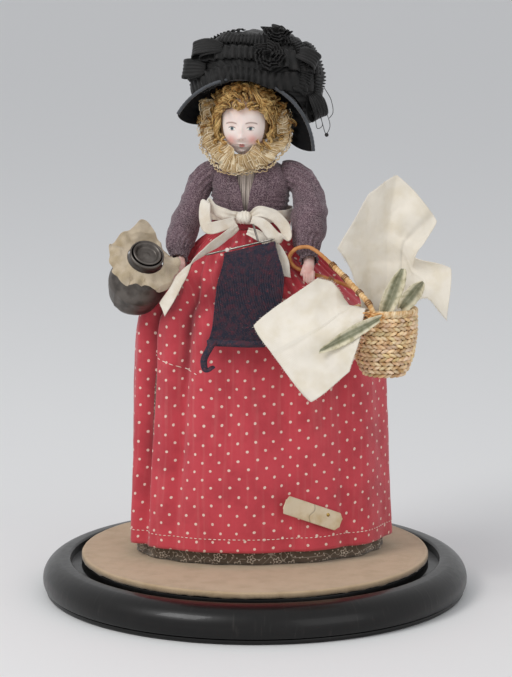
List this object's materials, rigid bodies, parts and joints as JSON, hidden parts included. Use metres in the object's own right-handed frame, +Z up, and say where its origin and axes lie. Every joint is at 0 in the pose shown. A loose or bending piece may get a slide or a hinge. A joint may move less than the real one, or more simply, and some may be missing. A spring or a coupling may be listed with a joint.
{
  "type": "bisque shoulder-head doll on a dome stand",
  "caption": "Bisque shoulder-head doll in a red dotted skirt and black bonnet, with milk can, basket, knitting and tag, on a black turned dome stand.",
  "frame": {"origin": "centre of the stand's underside", "axes": "+Z up, the doll faces -Y, +X is the doll's left"},
  "size_m": [0.2396, 0.2396, 0.3168],
  "materials": {
    "ebonised_wood": "satin, turned",
    "pad_card": "plain board",
    "pad_linen": "plain tan cloth",
    "brass": "aged",
    "bisque": "matt tinted bisque, painted face",
    "boot_glaze": "glossy brown boots",
    "cork": "plain",
    "mohair": "curled mohair",
    "calico": "plain weave, matt",
    "red_cotton": "printed with small cream dots",
    "brown_cotton": "small cream flower print",
    "purple_cotton": "fine light line print",
    "cotton_tape": "twill tape",
    "lace": "looped lace",
    "black_silk": "silk and straw, soft sheen",
    "wool": "dark heather knit",
    "needle_steel": "bright",
    "tin": "dull dark tin",
    "straw": "plaited straw",
    "leaf": "cloth leaves",
    "tag_card": "bare buff card"
  },
  "bodies": {
    "doll": {"stand_base": "ebonised_wood", "pad_board": "pad_card", "pad_cover": "pad_linen", "support_post": "brass", "shoulder_head": "bisque", "crown_pate": "cork", "wig": "mohair", "torso": "calico", "skirt": "red_cotton", "underskirt": "brown_cotton", "petticoat": "calico", "waistband": "red_cotton", "bodice": "purple_cotton", "chemisette": "cotton_tape", "lace_frill": "lace", "hat_brim": "black_silk", "brim_binding": "black_silk", "hat_crown": "black_silk", "rosette_front": "black_silk", "rosette_top": "black_silk", "ribbon_loop_right": "black_silk", "ribbon_loop_top": "black_silk", "ribbon_loop_left": "black_silk", "ribbon_loop_low": "black_silk", "waist_tape": "cotton_tape", "bow_knot": "cotton_tape", "bow_loop_right": "cotton_tape", "bow_loop_left": "cotton_tape", "bow_tail_right": "cotton_tape", "bow_tail_left": "cotton_tape", "tag_pin": "brass"},
    "arm_right": {"sleeve_right": "purple_cotton", "upper_arm_right": "calico", "forearm_right": "bisque", "cuff_right": "purple_cotton", "can_body": "tin", "can_cloth": "calico"},
    "can_lid": {"can_lid": "tin"},
    "arm_left": {"sleeve_left": "purple_cotton", "upper_arm_left": "calico", "forearm_left": "bisque", "cuff_left": "purple_cotton"},
    "basket": {"basket_body": "straw", "basket_handle": "straw", "handle_tie": "straw", "napkin_upper": "calico", "napkin_lower": "calico", "leaf_front": "leaf", "leaf_middle": "leaf", "leaf_side": "leaf"},
    "leg_right": {"thigh_right": "calico", "lower_leg_right": "boot_glaze"},
    "leg_left": {"thigh_left": "calico", "lower_leg_left": "boot_glaze"},
    "knitting": {"knitting": "wool", "needle_short": "needle_steel"},
    "needle": {"needle_long": "needle_steel"},
    "tag": {"tag": "tag_card"}
  },
  "joints": [
    {"name": "shoulder_right", "type": "hinge", "parent": "doll", "child": "arm_right", "pos_m": [-0.0255, 0.003, 0.2445], "axis": [0, 1, 0], "range_deg": [0, 25]},
    {"name": "shoulder_left", "type": "hinge", "parent": "doll", "child": "arm_left", "pos_m": [0.0205, 0.003, 0.2445], "axis": [0, -1, 0], "range_deg": [0, 25]},
    {"name": "lid_lift", "type": "slide", "parent": "arm_right", "child": "can_lid", "axis": [0.3304, -0.6208, 0.7109], "range_m": [0, 0.012]},
    {"name": "basket_swing", "type": "hinge", "parent": "arm_left", "child": "basket", "pos_m": [0.0325, -0.028, 0.1986], "axis": [0, -1, 0], "range_deg": [0, 10]},
    {"name": "hip_right", "type": "hinge", "parent": "doll", "child": "leg_right", "pos_m": [-0.016, 0.002, 0.151], "axis": [1, 0, 0], "range_deg": [-6, 6]},
    {"name": "hip_left", "type": "hinge", "parent": "doll", "child": "leg_left", "pos_m": [0.011, 0.002, 0.151], "axis": [1, 0, 0], "range_deg": [-6, 6]},
    {"name": "knitting_swing", "type": "hinge", "parent": "doll", "child": "knitting", "pos_m": [0.001, -0.027, 0.198], "axis": [-1, 0, 0], "range_deg": [0, 6]},
    {"name": "needle_slide", "type": "slide", "parent": "knitting", "child": "needle", "axis": [-0.9701, 0, -0.2425], "range_m": [0, 0.01]},
    {"name": "tag_turn", "type": "hinge", "parent": "doll", "child": "tag", "pos_m": [0.04481, -0.03094, 0.051], "axis": [0.5158, -0.8567, 0], "range_deg": [-12, 12]}
  ]
}
